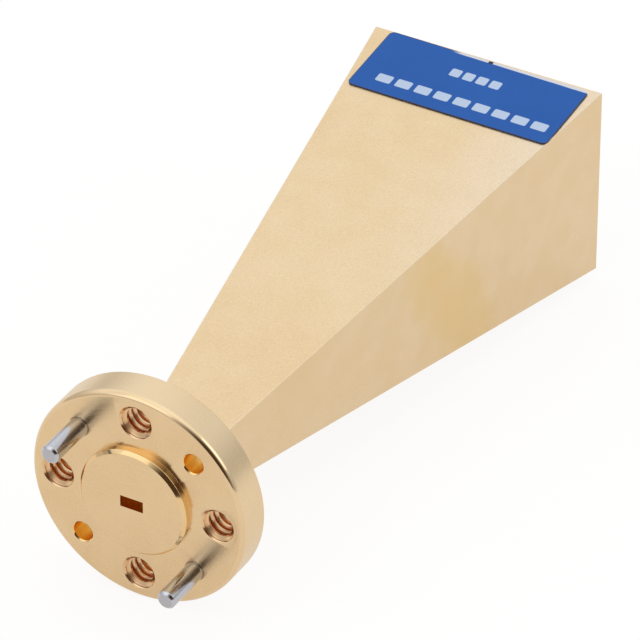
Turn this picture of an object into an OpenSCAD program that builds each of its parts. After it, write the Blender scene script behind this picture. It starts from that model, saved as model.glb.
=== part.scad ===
// Pyramidal horn antenna with a round waveguide flange.
// The guide runs along +Y: the flange's contact boss looks to -Y and the horn opens to +Y.
// X is the guide's broad side and +Z is the face that carries the label.
// The origin is on the guide's axis, in the plane of the flange's ring face.

/* [Waveguide] */
// Broad side of the guide, inside
guide_w = 2.032; // [1.2:0.001:2.6]
// Narrow side of the guide, inside
guide_h = 1.016; // [0.6:0.001:1.5]

/* [Flange] */
// Outside diameter of the flange
flange_d = 19.05; // [18.2:0.05:24]
// Thickness of the flange, from the ring face to the back face
flange_t = 3.2; // [2.4:0.1:6]
// Chamfer round the front edge of the rim
front_chamfer = 0.3; // [0.05:0.05:0.5]
// Chamfer round the back edge of the rim
back_chamfer = 0.15; // [0.05:0.05:0.4]
// Diameter of the contact boss
boss_d = 9.525; // [7:0.025:10.5]
// Height of the contact boss above the ring face
boss_h = 0.8; // [0.3:0.05:1.5]
// Chamfer round the face of the contact boss
boss_chamfer = 0.28; // [0.02:0.01:0.29]

/* [Flange holes] */
// Diameter of the circle that all eight holes lie on
hole_circle_d = 14.288; // [13.6:0.001:15]
// Major diameter of the screw thread
screw_d = 2.845; // [2:0.005:3]
// Width of the chamfer at both mouths of a screw hole
screw_mouth = 0.05; // [0.02:0.01:0.15]
// Clearance in an alignment hole round the mating flange's pin, on the radius
align_gap = 0.069; // [0.02:0.001:0.2]
// Width of the chamfer at both mouths of an alignment hole
align_mouth = 0.1; // [0.05:0.01:0.2]

/* [Dowel pins] */
// Diameter of a dowel pin
pin_d = 1.562; // [1.4:0.002:1.8]
// Length of a pin in front of the ring face
pin_reach = 4.4; // [3:0.1:7]
// How far a pin's pressed end stops short of the flange's back face
pin_recess = 0.3; // [0:0.05:1]
// Chamfer at both ends of a pin
pin_chamfer = 0.2; // [0.05:0.01:0.35]
// Width of the chamfer at both mouths of a pin hole
pin_mouth = 0.09; // [0.05:0.01:0.2]
// Clearance round the pressed end of a pin, on the radius
pin_gap = 0.003; // [0.001:0.001:0.02]

/* [Horn] */
// Length of the flare, from the flange's back face to the mouth
flare_l = 53.8; // [30:0.1:90]
// Outside width of the mouth, along the guide's broad side
mouth_w = 21.4; // [12:0.1:40]
// Outside height of the mouth
mouth_h = 17.5; // [9:0.1:36]
// Thickness of all four walls at the mouth
mouth_wall = 1.5; // [0.5:0.05:2.5]
// Outside width of the horn where it meets the flange
throat_w = 5.4; // [4.5:0.1:6.5]
// Outside height of the horn where it meets the flange
throat_h = 3.9; // [3.4:0.1:5.5]

/* [Horn seat] */
// Wall of the spigot that the horn is brazed into the flange with
spigot_wall = 1; // [0.6:0.05:1.1]
// Depth of the socket for the spigot
socket_depth = 1.5; // [0.8:0.1:2]
// Braze gap round the spigot and at its end
braze_gap = 0.03; // [0.01:0.01:0.08]

/* [Label] */
// Width of the label, across the horn
label_w = 18.8; // [8:0.1:19]
// Length of the label, up the slope of the horn
label_l = 7.65; // [4:0.05:8.5]
// Thickness of the label
label_t = 0.12; // [0.05:0.01:0.3]
// Corner radius of the label
label_corner = 0.5; // [0.3:0.05:1.5]
// Bare strip of the horn between the label and the edge of the mouth
label_margin = 0.28; // [0.25:0.01:3]
// How far the label sits off the horn's centre line
label_offset = 0.25; // [0:0.05:0.3]
// How many degrees the label is turned off square
label_turn = -0.7; // [-0.9:0.1:0.9]

/* [Hidden] */
$fn = 96;

// Cutters run this far past the faces they open
overrun = 1;
// Cutters that only have to clear the whole horn are this wide
clear_span = 2 * max(mouth_w, mouth_h);

mouth_y = flange_t + flare_l;
hole_r = hole_circle_d / 2;

// Places on the hole circle, in degrees from +X towards +Z
SCREW_ANGLES = [0, 90, 180, 270];
ALIGN_ANGLES = [45, 225];
LEFT_PIN_ANGLE = 135;
RIGHT_PIN_ANGLE = 315;

pin_seat = flange_t - pin_recess;
spigot_w = guide_w + 2 * spigot_wall;
spigot_h = guide_h + 2 * spigot_wall;
spigot_l = socket_depth - braze_gap;
socket_y = flange_t - socket_depth;
label_slope = atan((mouth_h - throat_h) / 2 / flare_l);

// Turns a shape that stands along +Z so that it runs along +Y.
module along_guide()
{
    rotate([-90, 0, 0])
        children();
}

// Puts a shape that runs along +Y on the hole circle, angle degrees from +X towards +Z.
module on_hole_circle(angle)
{
    translate([hole_r * cos(angle), 0, hole_r * sin(angle)])
        children();
}

// A box w wide and h high, centred on the guide, from y0 to y1.
module guide_box(w, h, y0, y1)
{
    translate([-w / 2, y0, -h / 2])
        cube([w, y1 - y0, h]);
}

// A straight-sided pyramid frustum: w0 by h0 at y0 and w1 by h1 at y1.
module taper(w0, h0, y0, w1, h1, y1)
{
    intersection()
    {
        linear_extrude(height = clear_span, center = true)
            polygon([[-w0 / 2, y0], [w0 / 2, y0], [w1 / 2, y1], [-w1 / 2, y1]]);
        rotate([90, 0, 90])
            linear_extrude(height = clear_span, center = true)
                polygon([[y0, -h0 / 2], [y1, -h1 / 2], [y1, h1 / 2], [y0, h0 / 2]]);
    }
}

// A drill with a 45 degree chamfer of the given width at both faces of the flange.
module drill(d, mouth)
{
    r = d / 2;
    wide = r + mouth + overrun;
    along_guide()
        rotate_extrude()
            polygon([[0, -overrun], [wide, -overrun], [r, mouth], [r, flange_t - mouth],
                     [wide, flange_t + overrun], [0, flange_t + overrun]]);
}

// The hollow of the flare, carried on past the mouth in the same slopes.
module flare_hollow()
{
    in_w = mouth_w - 2 * mouth_wall;
    in_h = mouth_h - 2 * mouth_wall;
    past = overrun / flare_l;
    taper(guide_w, guide_h, flange_t,
          in_w + (in_w - guide_w) * past, in_h + (in_h - guide_h) * past, mouth_y + overrun);
}

// The flared horn, in one piece with the spigot that seats in the flange.
module horn_body()
{
    color("#dcc08e")
        difference()
        {
            union()
            {
                taper(throat_w, throat_h, flange_t, mouth_w, mouth_h, mouth_y);
                guide_box(spigot_w, spigot_h, flange_t - spigot_l, flange_t + overrun);
            }
            flare_hollow();
            guide_box(guide_w, guide_h, socket_y, flange_t);
        }
}

// The turned blank of the flange: rim, ring face and contact boss.
module flange_blank()
{
    boss_r = boss_d / 2;
    rim_r = flange_d / 2;
    along_guide()
        rotate_extrude($fn = 180)
            polygon([[0, -boss_h], [boss_r - boss_chamfer, -boss_h], [boss_r, boss_chamfer - boss_h],
                     [boss_r, 0], [rim_r - front_chamfer, 0], [rim_r, front_chamfer],
                     [rim_r, flange_t - back_chamfer], [rim_r - back_chamfer, flange_t], [0, flange_t]]);
}

// The flange: four screw holes, two pin holes and two alignment holes round the guide's port.
module flange()
{
    color("#cda873")
        difference()
        {
            flange_blank();
            guide_box(guide_w, guide_h, -boss_h - overrun, flange_t);
            guide_box(spigot_w + 2 * braze_gap, spigot_h + 2 * braze_gap, socket_y, flange_t + overrun);
            for (angle = SCREW_ANGLES)
            {
                on_hole_circle(angle)
                    drill(screw_d, screw_mouth);
            }
            for (angle = ALIGN_ANGLES)
            {
                on_hole_circle(angle)
                    drill(pin_d + 2 * align_gap, align_mouth);
            }
            for (angle = [LEFT_PIN_ANGLE, RIGHT_PIN_ANGLE])
            {
                on_hole_circle(angle)
                    drill(pin_d + 2 * pin_gap, pin_mouth);
            }
        }
}

// A steel dowel pin with chamfered ends: free in front of the ring face and pressed in behind it.
module dowel_pin(angle)
{
    r = pin_d / 2;
    end_r = r - pin_chamfer;
    color("#c3c4c8")
        on_hole_circle(angle)
            along_guide()
                rotate_extrude()
                    polygon([[0, -pin_reach], [end_r, -pin_reach], [r, pin_chamfer - pin_reach],
                             [r, pin_seat - pin_chamfer], [end_r, pin_seat], [0, pin_seat]]);
}

module left_dowel_pin()
{
    dowel_pin(LEFT_PIN_ANGLE);
}

module right_dowel_pin()
{
    dowel_pin(RIGHT_PIN_ANGLE);
}

// A flat plate of the given size with round corners, centred on the origin.
module round_plate(w, l, r)
{
    square([w - 2 * r, l], center = true);
    square([w, l - 2 * r], center = true);
    for (x = [r - w / 2, w / 2 - r])
    {
        for (y = [r - l / 2, l / 2 - r])
        {
            translate([x, y])
                circle(r = r, $fn = 48);
        }
    }
}

// The label, stuck on the sloping upper face beside the mouth.
module label()
{
    color("#2f5fb3")
        translate([label_offset, mouth_y, mouth_h / 2])
            rotate([label_slope, 0, 0])
                translate([0, -label_margin - label_l / 2, 0])
                    rotate([0, 0, label_turn])
                        linear_extrude(height = label_t)
                            round_plate(label_w, label_l, label_corner);
}

horn_body();
flange();
left_dowel_pin();
right_dowel_pin();
label();
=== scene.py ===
"""Looks of a gold-plated horn antenna with a round waveguide flange.

The guide runs along +Y from the flange's contact boss to the mouth of the horn,
+Z is the face with the label, and the flange's ring face lies at Y = 0.
Every length is in metres.
"""

import math

import bmesh
import bpy
from mathutils import Matrix, Vector


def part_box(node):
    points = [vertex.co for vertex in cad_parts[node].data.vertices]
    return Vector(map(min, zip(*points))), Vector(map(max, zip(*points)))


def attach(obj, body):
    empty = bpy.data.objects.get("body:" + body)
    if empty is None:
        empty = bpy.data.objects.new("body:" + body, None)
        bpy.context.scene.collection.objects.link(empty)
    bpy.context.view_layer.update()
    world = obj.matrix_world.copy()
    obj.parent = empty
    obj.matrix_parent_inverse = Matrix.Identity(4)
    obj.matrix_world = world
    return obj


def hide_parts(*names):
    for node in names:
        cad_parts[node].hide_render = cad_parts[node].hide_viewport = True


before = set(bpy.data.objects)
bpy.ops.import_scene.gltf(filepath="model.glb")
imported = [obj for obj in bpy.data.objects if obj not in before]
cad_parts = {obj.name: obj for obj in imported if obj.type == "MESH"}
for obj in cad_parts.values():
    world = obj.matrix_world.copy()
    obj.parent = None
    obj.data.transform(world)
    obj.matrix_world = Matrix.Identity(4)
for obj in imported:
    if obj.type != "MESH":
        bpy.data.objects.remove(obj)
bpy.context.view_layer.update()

MM = 0.001

# Places and sizes taken from the solids
FLANGE_LOW, FLANGE_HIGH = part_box("flange")
HORN_LOW, HORN_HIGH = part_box("horn_body")
RIM_R = FLANGE_HIGH.x
BACK_Y = FLANGE_HIGH.y
BOSS_Y = FLANGE_LOW.y
MOUTH_Y = HORN_HIGH.y
MOUTH_W = 2 * HORN_HIGH.x
MOUTH_H = 2 * HORN_HIGH.z

# Waveguide
GUIDE_W = 2.032 * MM
GUIDE_H = 1.016 * MM

# Flange
BOSS_R = 4.7625 * MM
BOSS_CHAMFER = 0.28 * MM
FRONT_CHAMFER = 0.3 * MM
BACK_CHAMFER = 0.15 * MM
SOCKET_Y = 1.7 * MM
SOCKET_W = 4.092 * MM
SOCKET_H = 3.076 * MM

# Holes in the flange
HOLE_CIRCLE_R = 7.144 * MM
SCREW_MOUTH_R = 1.46 * MM
THREAD_MAJOR_R = 1.4225 * MM
THREAD_MINOR_R = 1.09 * MM
THREAD_PITCH = 0.635 * MM
ALIGN_R = 0.85 * MM
ALIGN_MOUTH = 0.1 * MM
PIN_HOLE_R = 0.784 * MM
PIN_MOUTH = 0.09 * MM
SCREW_ANGLES = (0, 90, 180, 270)
ALIGN_ANGLES = (45, 225)
PIN_ANGLES = (135, 315)

# Dowel pins
PIN_CHAMFER = 0.2 * MM

# Horn
THROAT_W = 5.4 * MM
THROAT_H = 3.9 * MM
MOUTH_WALL = 1.5 * MM
SPIGOT_W = 4.032 * MM
SPIGOT_H = 3.016 * MM

# Label
LABEL_W = 18.8 * MM
LABEL_L = 7.65 * MM
LABEL_T = 0.12 * MM
LABEL_CORNER = 0.5 * MM
LABEL_MARGIN = 0.28 * MM
LABEL_OFFSET = 0.25 * MM
LABEL_TURN = math.radians(-0.7)

# Rows of dashes on the label, in millimetres: how many, start, pitch, length, middle of the row
LABEL_ROWS = ((9, -7.7, 1.83, 1.42, -2.0), (4, -2.4, 1.25, 0.98, 1.2))
DASH_HALF_WIDTH = 0.5 * MM
DASH_CORNER = 0.18 * MM

# Camera, which looks at AIM from a distance at two angles in degrees
AIM = Vector((8.38, 13.73, 11.28)) * MM
CAMERA_AROUND = 29.52
CAMERA_UP = 34.76
CAMERA_DISTANCE = 413 * MM
CAMERA_LENS = 302.6

# Finishes and studio, as linear colours
GOLD = (0.8, 0.58, 0.335)
GOLD_SOFT = (0.82, 0.61, 0.36)
GOLD_WARM = (0.83, 0.64, 0.39)
GOLD_PALE = (0.845, 0.67, 0.44)
GOLD_STAIN = (0.82, 0.6, 0.28)
# Painted reflection: a deeper orange gold for light bounced between gold faces in hollows
GOLD_PAINTED_BOUNCE = (0.92, 0.58, 0.165)
# Painted shade: a copper tone for the light bounced inside the thread roots
COPPER_PAINTED_SHADE = (0.76, 0.43, 0.19)
CREST_GOLD = (0.8, 0.55, 0.32)
# Painted light: a paler gold laid on the horn's top and bottom faces
GOLD_PAINTED_LIGHT = (0.86, 0.72, 0.545)
RIDGE_GOLD = (0.9, 0.74, 0.52)
RIM_GOLD = (0.86, 0.685, 0.44)
CHAMFER_GOLD = (0.88, 0.68, 0.43)
PIN_SIDE = (0.56, 0.57, 0.61)
PIN_END = (0.5, 0.5, 0.53)
PRINT_BLUE = (0.005, 0.098, 0.42)
PRINT_BLUE_LIGHT = (0.007, 0.106, 0.44)
PRINT_PALE = (0.52, 0.64, 0.83)
FILM_WHITE = (0.72, 0.74, 0.79)
# Painted shade: the dark of the label's shaded sides and outline
FILM_EDGE_SHADE = (0.05, 0.04, 0.05)
FILM_NICK = (0.02, 0.03, 0.09)
FLOOR_PAPER = (0.93, 0.91, 0.89)
FLOOR_SEEN = (1.03, 1.03, 1.03)
FLOOR_MIRRORED = (0.92, 0.89, 0.86)
STAND = (0.075, 0.045, 0.028)


# ---------------------------------------------------------------- node graphs


class Socket:
    """An output in a node graph. Arithmetic on numbers adds Math nodes to that graph."""

    def __init__(self, graph, link):
        self.graph = graph
        self.link = link

    def math(self, operation, *others):
        return self.graph.math(operation, self, *others)

    def __add__(self, other):
        return self.math("ADD", other)

    def __sub__(self, other):
        return self.math("SUBTRACT", other)

    def __rsub__(self, other):
        return self.graph.math("SUBTRACT", other, self)

    def __mul__(self, other):
        return self.math("MULTIPLY", other)

    def __truediv__(self, other):
        return self.math("DIVIDE", other)

    def __abs__(self):
        return self.math("ABSOLUTE")

    __radd__ = __add__
    __rmul__ = __mul__


class Graph:
    """A node tree of any kind, and the few ways in which nodes are added to it."""

    def __init__(self, tree):
        self.tree = tree

    def node(self, kind, settings=None, sockets=None, out=0):
        """Adds a node, sets it up, fills its sockets and returns the outputs asked for."""
        node = self.tree.nodes.new(kind)
        for name, value in (settings or {}).items():
            if name == "stops":
                ramp = node.color_ramp.elements
                while len(ramp) < len(value):
                    ramp.new(1)
                for stop, (place, colour) in zip(ramp, value):
                    stop.position = place
                    stop.color = (*colour, 1)
            else:
                setattr(node, name, value)
        for name, value in (sockets or {}).items():
            socket = self.find(node.inputs, name)
            if isinstance(value, Socket):
                self.tree.links.new(value.link, socket)
            elif socket.type == "RGBA" and len(value) == 3:
                socket.default_value = (*value, 1)
            else:
                socket.default_value = value
        if isinstance(out, tuple):
            return tuple(Socket(self, self.find(node.outputs, name)) for name in out)
        return Socket(self, self.find(node.outputs, out)) if node.outputs else None

    @staticmethod
    def find(sockets, name):
        if isinstance(name, int):
            return sockets[name]
        return next(s for s in sockets if name in (s.identifier, s.name))

    def math(self, operation, *values):
        return self.node("ShaderNodeMath", {"operation": operation}, dict(enumerate(values)))

    def smooth(self, value, low, high):
        """0 below low and 1 above high, with an easy rise between them."""
        return self.node("ShaderNodeMapRange", {"interpolation_type": "SMOOTHSTEP"},
                         {"Value": value, "From Min": low, "From Max": high})

    def mix(self, share, first, second):
        """A colour: first where share is 0, second where it is 1."""
        return self.node("ShaderNodeMix", {"data_type": "RGBA"},
                         {"Factor_Float": share, "A_Color": first, "B_Color": second}, "Result_Color")

    def scaled(self, colour, factor):
        return self.node("ShaderNodeVectorMath", {"operation": "SCALE"}, {0: colour, "Scale": factor})

    def parts(self, vector):
        return self.node("ShaderNodeSeparateXYZ", None, {0: vector}, ("X", "Y", "Z"))

    def noise(self, where, scale, detail=2.0, roughness=0.5):
        return self.node("ShaderNodeTexNoise", None,
                         {"Vector": where, "Scale": scale, "Detail": detail, "Roughness": roughness})

    def streaks(self, along, scale, detail=2.0):
        """Noise that changes only along one number, as tool marks do."""
        return self.node("ShaderNodeTexNoise", {"noise_dimensions": "1D"},
                         {"W": along, "Scale": scale, "Detail": detail})


class Finish(Graph):
    """A material with one Principled shader, whose patterns are read in the part's own frame."""

    def __init__(self, name, **constants):
        self.material = bpy.data.materials.new(name)
        self.material.use_nodes = True
        super().__init__(self.material.node_tree)
        self.shader = self.tree.nodes["Principled BSDF"]
        for socket, value in constants.items():
            self.shader.inputs[socket.replace("_", " ")].default_value = value
        self.point = self.node("ShaderNodeTexCoord", out="Object")
        self.x, self.y, self.z = self.parts(self.point)

    def feed(self, **sockets):
        for name, value in sockets.items():
            self.tree.links.new(value.link, self.shader.inputs[name.replace("_", " ")])
        return self.material

    def facing(self):
        """The surface's own direction, as three numbers."""
        return self.parts(self.node("ShaderNodeNewGeometry", out="Normal"))

    def bump(self, height, distance):
        return self.node("ShaderNodeBump", None, {"Height": height, "Distance": distance, "Strength": 1.0})


# ------------------------------------------------------------------ finishes


def plated_horn():
    """Gold over a fine sandy surface: duller outside, smooth inside the flare."""
    f = Finish("plated_horn", Metallic=1.0)
    nx, _, nz = f.facing()
    along = (f.y - BACK_Y) / (MOUTH_Y - BACK_Y)
    half_w = along * ((MOUTH_W - THROAT_W) / 2) + THROAT_W / 2
    half_h = along * ((MOUTH_H - THROAT_H) / 2) + THROAT_H / 2
    from_side = half_w - abs(f.x)
    from_top = half_h - abs(f.z)
    nearest = f.math("MINIMUM", from_side, from_top)
    furthest = f.math("MAXIMUM", from_side, from_top)
    outside = f.smooth(nearest, 0.3 * MM, 0.1 * MM)
    ridge = f.smooth(furthest, 0.16 * MM, 0.03 * MM)
    broad = f.smooth(abs(nz), 0.6, 0.8)

    grain = f.noise(f.point, 6800, 2.0, 0.6)
    cloud = f.noise(f.point, 330, 3.0)
    patch = f.noise(f.point, 75, 1.0)
    sand = outside * (broad * 0.75 + 0.25)
    tone = f.mix(f.smooth(cloud, 0.35, 0.65) * 0.6, GOLD_WARM, GOLD_PALE)
    tone = f.mix(f.smooth(patch, 0.45, 0.65) * 0.35, tone, GOLD)
    # Painted light: the top and bottom faces are painted lighter towards the +X side near the mouth
    mouth_side_painted_light = f.smooth(f.x / half_w, 0.1, 1.0) * f.smooth(along, 0.3, 0.9)
    tone = f.mix(mouth_side_painted_light * broad * 0.8, tone, GOLD_PAINTED_LIGHT)
    stain_y = (f.y - 36 * MM + f.z * 0.6) / (4.5 * MM)
    stain_z = (f.z + 1.5 * MM) / (9 * MM)
    stain_edge = stain_y * stain_y + stain_z * stain_z + (cloud - 0.5) * 1.2
    stain = f.smooth(stain_edge, 1.3, 0.0) * f.smooth(nx, 0.5, 0.8)
    tone = f.mix(stain * 0.75, tone, GOLD_STAIN)
    tone = f.mix(ridge * 0.5, tone, RIDGE_GOLD)
    light = 1 + sand * (grain - 0.5) * 0.36 + (cloud - 0.5) * 0.04
    rough = 0.22 + sand * 0.16 + (grain - 0.5) * sand * 0.12 + (cloud - 0.5) * 0.06 - ridge * 0.08
    relief = grain * sand + cloud * 2.0
    return f.feed(Base_Color=f.scaled(tone, light), Roughness=rough, Normal=f.bump(relief, 0.0016 * MM))


def plated_flange():
    """Gold over turned brass: fine rings on the flat faces, lines round the rim, bright chamfers."""
    f = Finish("plated_flange", Metallic=1.0)
    _, ny, _ = f.facing()
    radius = f.math("SQRT", f.x * f.x + f.z * f.z)
    flat = f.smooth(abs(ny), 0.94, 0.99)
    rim = f.smooth(radius, RIM_R - 0.08 * MM, RIM_R - 0.02 * MM)
    slanted = 1 - f.math("MAXIMUM", flat, f.smooth(abs(ny), 0.35, 0.1))
    wall = f.smooth(radius, BOSS_R + 0.04 * MM, BOSS_R + 0.02 * MM) * (1 - flat)
    hole_off = abs(f.x + f.z) / math.sqrt(2) - HOLE_CIRCLE_R
    hole_across = (f.x - f.z) / math.sqrt(2)
    hole_wall = f.math("SQRT", hole_off * hole_off + hole_across * hole_across)
    hole_wall = f.smooth(hole_wall, ALIGN_R + 0.12 * MM, ALIGN_R + 0.04 * MM)
    hole_wall = hole_wall * f.smooth(f.y, 0.02 * MM, 0.1 * MM)

    rings = f.streaks(radius, 9000, 3.0)
    lines = f.streaks(f.y, 12000, 3.0)
    cloud = f.noise(f.point, 260, 3.0)
    grain = f.noise(f.point, 9000, 2.0)
    boss = flat * f.smooth(f.y, BOSS_Y * 0.6, BOSS_Y * 0.8)
    laps = f.streaks(f.z + f.x * 0.05, 3600, 3.0)
    foot = flat * f.smooth(radius, BOSS_R + 1.1 * MM, BOSS_R + 0.3 * MM) * (1 - boss)
    marks = flat * (rings - 0.5) * (1 - boss * 0.8) * (1 - foot)
    marks = marks + boss * (laps - 0.5) * 1.3 + rim * (lines - 0.5)
    tone = f.mix(f.smooth(cloud, 0.3, 0.7), GOLD, GOLD_SOFT)
    tone = f.mix(slanted * 0.25, tone, CHAMFER_GOLD)
    tone = f.mix(rim * 0.7, tone, RIM_GOLD)
    # Painted reflection: the alignment holes' walls, and faintly the boss wall, are tinted deeper orange for
    # light bounced between gold faces
    tone = f.mix(f.math("MAXIMUM", hole_wall, wall * 0.3), tone, GOLD_PAINTED_BOUNCE)
    light = 1 + marks * 0.06 + (cloud - 0.5) * 0.04 + (grain - 0.5) * 0.04
    polish = f.math("MAXIMUM", slanted, wall) * 0.17 + foot * 0.06
    rough = 0.28 + marks * 0.08 + (cloud - 0.5) * 0.05 - polish
    relief = marks * 0.8 + (grain - 0.5) * 0.2 * (1 - foot)
    return f.feed(Base_Color=f.scaled(tone, light), Roughness=rough, Normal=f.bump(relief, 0.0012 * MM))


def plated_thread():
    """Gold in the screw holes, with painted shade: redder and darker in the thread roots and deeper in the
    holes.
    """
    f = Finish("plated_thread", Metallic=1.0)
    outward = f.math("MAXIMUM", abs(f.x), abs(f.z)) - HOLE_CIRCLE_R
    across = f.math("MINIMUM", abs(f.x), abs(f.z))
    depth = f.math("SQRT", outward * outward + across * across)
    # Painted shade: the thread roots, and the hole further in, are painted copper for the light bounced
    # inside them
    root = f.smooth(depth, THREAD_MINOR_R + 0.02 * MM, THREAD_MAJOR_R - 0.1 * MM)
    root = root * f.smooth(f.y, 0.2 * MM, 0.45 * MM)
    specks = f.noise(f.point, 5200, 3.0)
    lines = f.streaks(f.y, 16000, 2.0)
    tone = f.mix(root * 0.85 + (specks - 0.5) * 0.3, CREST_GOLD, COPPER_PAINTED_SHADE)
    rough = 0.16 + specks * 0.1
    return f.feed(Base_Color=tone, Roughness=rough, Normal=f.bump(lines + specks, 0.0012 * MM))


def ground_steel():
    """Ground steel: faint lines round the pin and a slightly duller end."""
    f = Finish("ground_steel", Metallic=1.0)
    _, ny, _ = f.facing()
    end = f.smooth(abs(ny), 0.9, 0.98)
    lines = f.streaks(f.y, 14000, 3.0)
    specks = f.noise(f.point, 5200, 3.0)
    tone = f.mix(end, PIN_SIDE, PIN_END)
    light = 1 + (lines - 0.5) * 0.16 * (1 - end) + (specks - 0.5) * 0.16
    rough = 0.19 + end * 0.12 + (specks - 0.5) * 0.08
    return f.feed(Base_Color=f.scaled(tone, light), Roughness=rough,
                  Normal=f.bump(lines * (1 - end) + specks * 0.5, 0.0009 * MM))


def label_film():
    """Printed film: a blue field with one bare white edge, rows of pale dashes for print, and painted shade
    along its outline and sides.
    """
    f = Finish("label_film", Specular_IOR_Level=0.25)
    slope = math.atan((MOUTH_H - THROAT_H) / 2 / (MOUTH_Y - BACK_Y))
    lie = Matrix.Rotation(slope, 3, "X")
    middle = Vector((LABEL_OFFSET, MOUTH_Y, MOUTH_H / 2)) + lie @ Vector((0, -LABEL_MARGIN - LABEL_L / 2, 0))
    turn = (lie @ Matrix.Rotation(LABEL_TURN, 3, "Z")).to_euler("XYZ")
    flat = f.node("ShaderNodeMapping", {"vector_type": "TEXTURE"},
                  {"Vector": f.point, "Location": middle, "Rotation": turn})
    u, v, up = f.parts(flat)

    def inside(x, y, half_w, half_l, corner):
        """How far inside a round-cornered plate, in metres; negative outside it."""
        over_x = f.math("MAXIMUM", abs(x) - (half_w - corner), 0.0)
        over_y = f.math("MAXIMUM", abs(y) - (half_l - corner), 0.0)
        return corner - f.math("SQRT", over_x * over_x + over_y * over_y)

    wobble = (f.noise(f.point, 900, 2.0) - 0.5) * (0.06 * MM)
    bare_edge = LABEL_L / 2 - 0.26 * MM + wobble - u * 0.006
    bare = f.smooth(v - bare_edge, -0.03 * MM, 0.03 * MM) * f.smooth(u, -3.6 * MM, -2.4 * MM)
    edge_shade_band = f.smooth(inside(u, v, LABEL_W / 2, LABEL_L / 2, LABEL_CORNER) + wobble, 0.1 * MM, 0.02 * MM)
    nick = inside(u - 0.2 * MM, v - LABEL_L / 2 + 0.12 * MM, 0.22 * MM, 0.2 * MM, 0.08 * MM)
    nick = f.smooth(nick, -0.01 * MM, 0.03 * MM)

    def dashes(count, start, pitch, length, centre):
        """A row of equal dashes along the label."""
        step = (u - start * MM) / (pitch * MM)
        inside_row = f.math("COMPARE", step, count / 2, count / 2)
        place = (f.math("FRACT", step) - 0.5) * (pitch * MM)
        dash = inside(place, v - centre * MM, length / 2 * MM, DASH_HALF_WIDTH, DASH_CORNER)
        return inside_row * f.smooth(dash, -0.02 * MM, 0.04 * MM)

    first_row, second_row = [dashes(*row) for row in LABEL_ROWS]
    print_rows = f.math("MAXIMUM", first_row, second_row)
    top = f.smooth(up, LABEL_T * 0.55, LABEL_T * 0.9)
    ink = f.noise(f.point, 4200, 3.0)
    sheen = f.noise(f.point, 260, 2.0)
    blue = f.mix(f.smooth(sheen, 0.3, 0.7), PRINT_BLUE, PRINT_BLUE_LIGHT)
    colour = f.mix(print_rows, blue, PRINT_PALE)
    # Painted shade: a dark band along the label's outline
    colour = f.mix(edge_shade_band * 0.75, colour, FILM_EDGE_SHADE)
    colour = f.mix(bare, colour, FILM_WHITE)
    colour = f.mix(nick, colour, FILM_NICK)
    # Painted shade: the film's sides, below its top face, are painted dark
    colour = f.mix(top, FILM_EDGE_SHADE, colour)
    light = 1 + (ink - 0.5) * 0.08
    rough = 0.42 + (ink - 0.5) * 0.1
    relief = ink * 0.5 + sheen
    return f.feed(Base_Color=f.scaled(colour, light), Roughness=rough, Normal=f.bump(relief, 0.0012 * MM))


# -------------------------------------------------------------------- shapes


def eased(corners, steps=4):
    """A line of (radius, y) points from corners (radius, y, ease): each ease rounds its corner."""
    points = []
    for i, (r, y, ease) in enumerate(corners):
        here = Vector((r, y))
        if not ease:
            points.append(here)
            continue
        before = (Vector(corners[i - 1][:2]) - here).normalized() * ease
        after = (Vector(corners[i + 1][:2]) - here).normalized() * ease
        for k in range(steps + 1):
            t = k / steps
            points.append(here + before * (1 - t) ** 2 + after * t ** 2)
    return points


def add_lathe(mesh, line, steps, centre=(0.0, 0.0)):
    """Turns a line of (radius, y) points, which starts and ends on the axis, round the Y direction."""
    rings = []
    for r, y in line:
        if r < 1e-9:
            rings.append([mesh.verts.new((centre[0], y, centre[1]))])
            continue
        ring = []
        for k in range(steps):
            a = 2 * math.pi * k / steps
            ring.append(mesh.verts.new((centre[0] + r * math.cos(a), y, centre[1] + r * math.sin(a))))
        rings.append(ring)
    for first, second in zip(rings, rings[1:]):
        for k in range(steps):
            n = (k + 1) % steps
            corners = [first[k % len(first)], first[n % len(first)],
                       second[n % len(second)], second[k % len(second)]]
            mesh.faces.new(dict.fromkeys(corners))


def add_box(mesh, width, height, y0, y1):
    """A box centred on the guide."""
    size = Matrix.Diagonal((width, y1 - y0, height, 1))
    bmesh.ops.create_cube(mesh, size=1, matrix=Matrix.Translation((0, (y0 + y1) / 2, 0)) @ size)


def finished(name, mesh):
    """A mesh object from a bmesh, with its faces turned outwards."""
    bmesh.ops.recalc_face_normals(mesh, faces=mesh.faces)
    data = bpy.data.meshes.new(name)
    mesh.to_mesh(data)
    mesh.free()
    obj = bpy.data.objects.new(name, data)
    bpy.context.scene.collection.objects.link(obj)
    return obj


def applied(obj):
    """Turns an object with modifiers into a plain mesh."""
    bpy.context.view_layer.update()
    graph = bpy.context.evaluated_depsgraph_get()
    data = bpy.data.meshes.new_from_object(obj.evaluated_get(graph), depsgraph=graph)
    obj.modifiers.clear()
    obj.data = data
    return obj


def shaded(obj, degrees=32):
    """Smooth where the surface turns gently, sharp elsewhere, and level on the flat faces."""
    obj.data.shade_smooth()
    obj.data.set_sharp_from_angle(angle=math.radians(degrees))
    level = obj.modifiers.new("level", "WEIGHTED_NORMAL")
    level.keep_sharp = True
    level.weight = 100
    return applied(obj)


def dressed(obj, material, slot, *nodes):
    """Gives a piece its finish, hangs it on the root body and hides the solids it stands in for."""
    obj.data.materials.clear()
    obj.data.materials.append(material)
    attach(obj, "root")
    if nodes:
        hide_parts(*nodes)
    return obj


def on_hole_circle(angle):
    """(x, z) of a hole, angle degrees from +X towards +Z."""
    a = math.radians(angle)
    return HOLE_CIRCLE_R * math.cos(a), HOLE_CIRCLE_R * math.sin(a)


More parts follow.
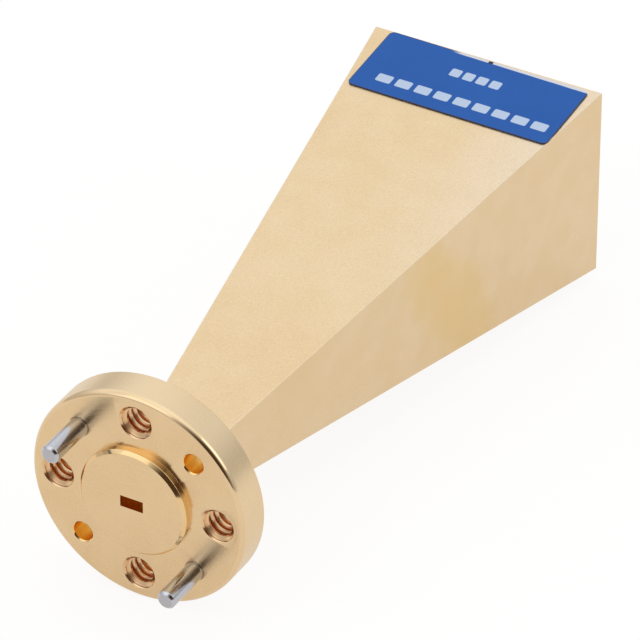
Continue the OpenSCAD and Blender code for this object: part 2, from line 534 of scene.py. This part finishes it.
def drill_line(bore, mouth):
    """The outline of a drill through the flange: its mouths are chamfered, with softened edges."""
    ease = 0.02 * MM
    wide = mouth + 0.55 * MM
    front = [(0, -1 * MM), (wide, -1 * MM), (wide, -0.2 * MM), (mouth + 0.05 * MM, 0)]
    line = front + [(mouth, ease)]
    if mouth - bore > ease:
        line += [(bore, ease + mouth - bore), (bore, BACK_Y - ease - mouth + bore)]
    line.append((mouth, BACK_Y - ease))
    return [Vector(p) for p in line + [(r, BACK_Y - y) for r, y in reversed(front)]]


def turned_flange():
    """The flange: a lathe-turned blank, drilled and cut for the guide."""
    blank = bmesh.new()
    add_lathe(blank, eased([
        (0, BOSS_Y, 0),
        (BOSS_R - BOSS_CHAMFER, BOSS_Y, 0.03 * MM),
        (BOSS_R, BOSS_Y + BOSS_CHAMFER, 0.04 * MM),
        (BOSS_R, 0, 0.015 * MM),
        (RIM_R - FRONT_CHAMFER, 0, 0.17 * MM),
        (RIM_R, FRONT_CHAMFER, 0.25 * MM),
        (RIM_R, BACK_Y - BACK_CHAMFER, 0.04 * MM),
        (RIM_R - BACK_CHAMFER, BACK_Y, 0.04 * MM),
        (0, BACK_Y, 0)]), 288)
    flange = finished("turned_flange", blank)

    cutters = bmesh.new()
    for angle in SCREW_ANGLES:
        add_lathe(cutters, drill_line(SCREW_MOUTH_R, SCREW_MOUTH_R), 96, on_hole_circle(angle))
    for angle in ALIGN_ANGLES:
        add_lathe(cutters, drill_line(ALIGN_R, ALIGN_R + ALIGN_MOUTH), 72, on_hole_circle(angle))
    for angle in PIN_ANGLES:
        add_lathe(cutters, drill_line(PIN_HOLE_R, PIN_HOLE_R + PIN_MOUTH), 72, on_hole_circle(angle))
    add_box(cutters, GUIDE_W, GUIDE_H, BOSS_Y - 1 * MM, SOCKET_Y + 0.2 * MM)
    add_box(cutters, SOCKET_W, SOCKET_H, SOCKET_Y, BACK_Y + 1 * MM)
    tool = finished("flange_cutters", cutters)

    cut = flange.modifiers.new("cut", "BOOLEAN")
    cut.operation = "DIFFERENCE"
    cut.solver = "EXACT"
    cut.use_self = True
    cut.object = tool
    applied(flange)
    bpy.data.objects.remove(tool)
    return shaded(flange)


def flared_horn():
    """The horn: one shell of rectangles, from the spigot out to the mouth and back down the hollow."""
    spigot_y = HORN_LOW.y
    rectangles = [
        (SPIGOT_W, SPIGOT_H, spigot_y),
        (SPIGOT_W, SPIGOT_H, BACK_Y),
        (THROAT_W, THROAT_H, BACK_Y),
        (MOUTH_W, MOUTH_H, MOUTH_Y),
        (MOUTH_W - 2 * MOUTH_WALL, MOUTH_H - 2 * MOUTH_WALL, MOUTH_Y),
        (GUIDE_W, GUIDE_H, BACK_Y),
        (GUIDE_W, GUIDE_H, spigot_y)]
    shell = bmesh.new()
    rings = []
    for width, height, y in rectangles:
        rings.append([shell.verts.new((sx * width / 2, y, sz * height / 2))
                      for sx, sz in ((1, 1), (-1, 1), (-1, -1), (1, -1))])
    for first, second in zip(rings, rings[1:] + rings[:1]):
        for k in range(4):
            n = (k + 1) % 4
            shell.faces.new((first[k], first[n], second[n], second[k]))
    horn = finished("flared_horn", shell)
    soften = horn.modifiers.new("soften", "BEVEL")
    soften.width = 0.07 * MM
    soften.segments = 3
    soften.limit_method = "ANGLE"
    soften.angle_limit = math.radians(20)
    applied(horn)
    return shaded(horn)


def dowel_pin(name, node):
    """A straight pin with chamfered ends, in the place of its solid."""
    low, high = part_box(node)
    r = (high.x - low.x) / 2
    end = r - PIN_CHAMFER
    pin = bmesh.new()
    add_lathe(pin, eased([
        (0, low.y, 0),
        (end, low.y, 0.03 * MM),
        (r, low.y + PIN_CHAMFER, 0.04 * MM),
        (r, high.y - PIN_CHAMFER, 0.04 * MM),
        (end, high.y, 0.03 * MM),
        (0, high.y, 0)]), 96, ((low.x + high.x) / 2, (low.z + high.z) / 2))
    return shaded(finished(name, pin))


def thread_tree(sizes, material):
    """Geometry nodes for tapped holes: one sleeve with an inside thread, put on a circle of four."""
    tree = bpy.data.node_groups.new("tapped_holes", "GeometryNodeTree")
    tree.interface.new_socket("Geometry", in_out="OUTPUT", socket_type="NodeSocketGeometry")
    for name, value in sizes.items():
        kind = "NodeSocketInt" if isinstance(value, int) else "NodeSocketFloat"
        tree.interface.new_socket(name, in_out="INPUT", socket_type=kind)
    g = Graph(tree)
    given = dict(zip(sizes, g.node("NodeGroupInput", out=tuple(sizes))))
    pitch, length, mouth = given["Pitch"], given["Length"], given["Mouth radius"]
    minor, major = given["Minor radius"], given["Major radius"]
    rows_a_turn = given["Rows a turn"]

    turns = g.math("CEIL", length / pitch) + 1
    rows = turns * rows_a_turn
    grid = g.node("GeometryNodeMeshGrid", None, {"Size X": 1.0, "Size Y": 1.0,
                                                 "Vertices X": given["Columns"] + 1, "Vertices Y": rows + 2})
    across, down, _ = g.parts(g.node("GeometryNodeInputPosition"))
    around = across + 0.5
    row = g.math("ROUND", (down + 0.5) * (rows + 1))
    last = g.math("GREATER_THAN", row, rows + 0.5)

    # Rows follow the helix: y falls by one pitch for each turn, and stops at both faces of the flange
    step = row / rows_a_turn
    y = (step - around) * pitch
    y = g.math("MINIMUM", g.math("MAXIMUM", y, 0.0), length) * (1 - last)

    # A 60 degree thread: flat crests an eighth of the pitch wide on each side, flat roots half as wide
    from_crest = abs(g.math("FRACT", step) - 0.5) * pitch
    flank = g.math("MAXIMUM", from_crest - pitch / 8, 0.0) * math.sqrt(3)
    radius = g.math("MINIMUM", minor + flank, major)
    cone = g.math("MAXIMUM", mouth - y, mouth - length + y)
    radius = g.math("MINIMUM", g.math("MAXIMUM", radius, cone), mouth)

    angle = around * (2 * math.pi)
    place = g.node("ShaderNodeCombineXYZ", None,
                   {"X": radius * g.math("COSINE", angle), "Y": y + given["Start"],
                    "Z": radius * g.math("SINE", angle)})
    sleeve = g.node("GeometryNodeSetPosition", None, {"Geometry": grid, "Position": place})
    sleeve = g.node("GeometryNodeMergeByDistance", None, {"Geometry": sleeve, "Distance": 1e-7})
    circle = g.node("GeometryNodeMeshCircle", None,
                    {"Vertices": given["Holes"], "Radius": given["Circle radius"]})
    circle = g.node("GeometryNodeTransform", None,
                    {"Geometry": circle, "Rotation": (math.radians(90), 0, 0)})
    holes = g.node("GeometryNodeInstanceOnPoints", None, {"Points": circle, "Instance": sleeve})
    holes = g.node("GeometryNodeRealizeInstances", None, {"Geometry": holes})
    holes = g.node("GeometryNodeSetMaterial", None, {"Geometry": holes, "Material": material})
    g.node("NodeGroupOutput", None, {"Geometry": holes})
    return tree


def screw_threads(material):
    """The tapped threads of the four screw holes, as one piece."""
    start = 0.02 * MM
    sizes = {
        "Pitch": THREAD_PITCH,
        "Length": BACK_Y - 2 * start,
        "Start": start,
        "Minor radius": THREAD_MINOR_R,
        "Major radius": THREAD_MAJOR_R,
        "Mouth radius": SCREW_MOUTH_R,
        "Circle radius": HOLE_CIRCLE_R,
        "Columns": 80,
        "Rows a turn": 16,
        "Holes": len(SCREW_ANGLES)}
    threads = finished("screw_threads", bmesh.new())
    maker = threads.modifiers.new("tapped_holes", "NODES")
    maker.node_group = thread_tree(sizes, material)
    for socket in maker.node_group.interface.items_tree:
        if socket.in_out == "INPUT":
            maker[socket.identifier] = sizes[socket.name]
    applied(threads)
    clean = bmesh.new()
    clean.from_mesh(threads.data)
    bmesh.ops.recalc_face_normals(clean, faces=clean.faces)
    clean.to_mesh(threads.data)
    clean.free()
    return shaded(threads, 24)


# -------------------------------------------------------------------- studio


def aimed(obj, place, target):
    """Puts a camera or lamp at a place and turns it to a target."""
    obj.location = place
    obj.rotation_euler = (Vector(target) - Vector(place)).to_track_quat("-Z", "Y").to_euler()
    bpy.context.scene.collection.objects.link(obj)
    return obj


def towards(around, up):
    """A direction: degrees round from -Y towards +X, and degrees above the floor."""
    a, e = math.radians(around), math.radians(up)
    return Vector((math.sin(a) * math.cos(e), -math.cos(a) * math.cos(e), math.sin(e)))


def make_camera():
    data = bpy.data.cameras.new("camera")
    data.sensor_width = 36
    data.lens = CAMERA_LENS
    data.clip_start = 0.01
    data.clip_end = 20
    place = AIM + towards(CAMERA_AROUND, CAMERA_UP) * CAMERA_DISTANCE
    camera = aimed(bpy.data.objects.new("camera", data), place, AIM)
    bpy.context.scene.camera = camera


def make_world():
    """A white studio with a darker stand behind the camera and a dimmer band at the horizon."""
    world = bpy.data.worlds.new("studio")
    bpy.context.scene.world = world
    world.use_nodes = True
    g = Graph(world.node_tree)
    way = g.node("ShaderNodeTexCoord", out="Generated")
    x, y, z = g.parts(way)
    height = g.node("ShaderNodeValToRGB", {"stops": [
        (0.0, (0.8, 0.79, 0.78)),
        (0.48, (0.74, 0.73, 0.72)),
        (0.52, (0.6, 0.59, 0.58)),
        (0.62, (0.66, 0.66, 0.66)),
        (0.77, (1.02, 1.04, 1.09)),
        (0.88, (0.99, 0.99, 0.98)),
        (1.0, (1.16, 1.17, 1.18))]}, {"Fac": z * 0.5 + 0.5}, "Color")
    stand = towards(38, 18)
    off = g.math("ARCCOSINE", x * stand.x + y * stand.y + z * stand.z)
    lit = g.smooth(off, math.radians(16), math.radians(52))
    studio = g.mix(lit, STAND, height)
    far_side = towards(141, 20)
    dim = g.smooth(x * far_side.x + y * far_side.y + z * far_side.z, 0.5, 0.95)
    studio = g.scaled(studio, 1 - dim * 0.15)
    seen = g.node("ShaderNodeLightPath", out="Is Camera Ray")
    colour = g.mix(seen, studio, (1.0, 1.0, 1.0))
    background = world.node_tree.nodes["Background"]
    world.node_tree.links.new(colour.link, background.inputs["Color"])


def make_floor():
    """A pale floor that keeps a faint shadow."""
    floor_mesh = bmesh.new()
    bmesh.ops.create_grid(floor_mesh, x_segments=1, y_segments=1, size=3.0,
                          matrix=Matrix.Translation((0, 0, FLANGE_LOW.z - 0.002 * MM)))
    floor = finished("floor", floor_mesh)
    material = bpy.data.materials.new("pale_floor")
    material.use_nodes = True
    material.cycles.emission_sampling = "NONE"
    g = Graph(material.node_tree)
    camera, glossy, through = g.node("ShaderNodeLightPath",
                                     out=("Is Camera Ray", "Is Glossy Ray", "Is Transmission Ray"))
    mirrored = g.math("MAXIMUM", glossy, through)
    glow = g.node("ShaderNodeEmission", None, {"Color": g.mix(camera, FLOOR_MIRRORED, FLOOR_SEEN)})
    paper = g.node("ShaderNodeBsdfDiffuse", None, {"Color": FLOOR_PAPER})
    both = g.node("ShaderNodeMixShader", None, {"Fac": camera * 0.86 + mirrored * 0.6, 1: paper, 2: glow})
    output = material.node_tree.nodes["Material Output"]
    material.node_tree.links.new(both.link, output.inputs["Surface"])
    floor.data.materials.append(material)


def make_lamp(name, around, up, distance, size, power):
    """A soft square lamp aimed at the middle of the horn."""
    data = bpy.data.lights.new(name, "AREA")
    data.size = size
    data.energy = power
    aimed(bpy.data.objects.new(name, data), towards(around, up) * distance, (0, 0.02, 0))


# ---------------------------------------------------------------------- build

scene = bpy.context.scene
scene.view_settings.view_transform = "Standard"
make_camera()
make_world()
make_floor()
scene.cycles.glossy_bounces = 12
make_lamp("front_left_lamp", -26, 42, 0.6, 0.46, 0.2)
make_lamp("right_lamp", 96, 36, 0.7, 0.4, 0.34)

gold_horn = plated_horn()
gold_flange = plated_flange()
gold_thread = plated_thread()
steel = ground_steel()

dressed(flared_horn(), gold_horn, "plated_horn", "horn_body")
dressed(turned_flange(), gold_flange, "plated_flange", "flange")
dressed(screw_threads(gold_thread), gold_thread, "plated_flange")
dressed(dowel_pin("left_pin", "left_dowel_pin"), steel, "pin_steel", "left_dowel_pin")
dressed(dowel_pin("right_pin", "right_dowel_pin"), steel, "pin_steel", "right_dowel_pin")

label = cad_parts["label"]
for material_slot in label.material_slots:
    material_slot.material = label_film()
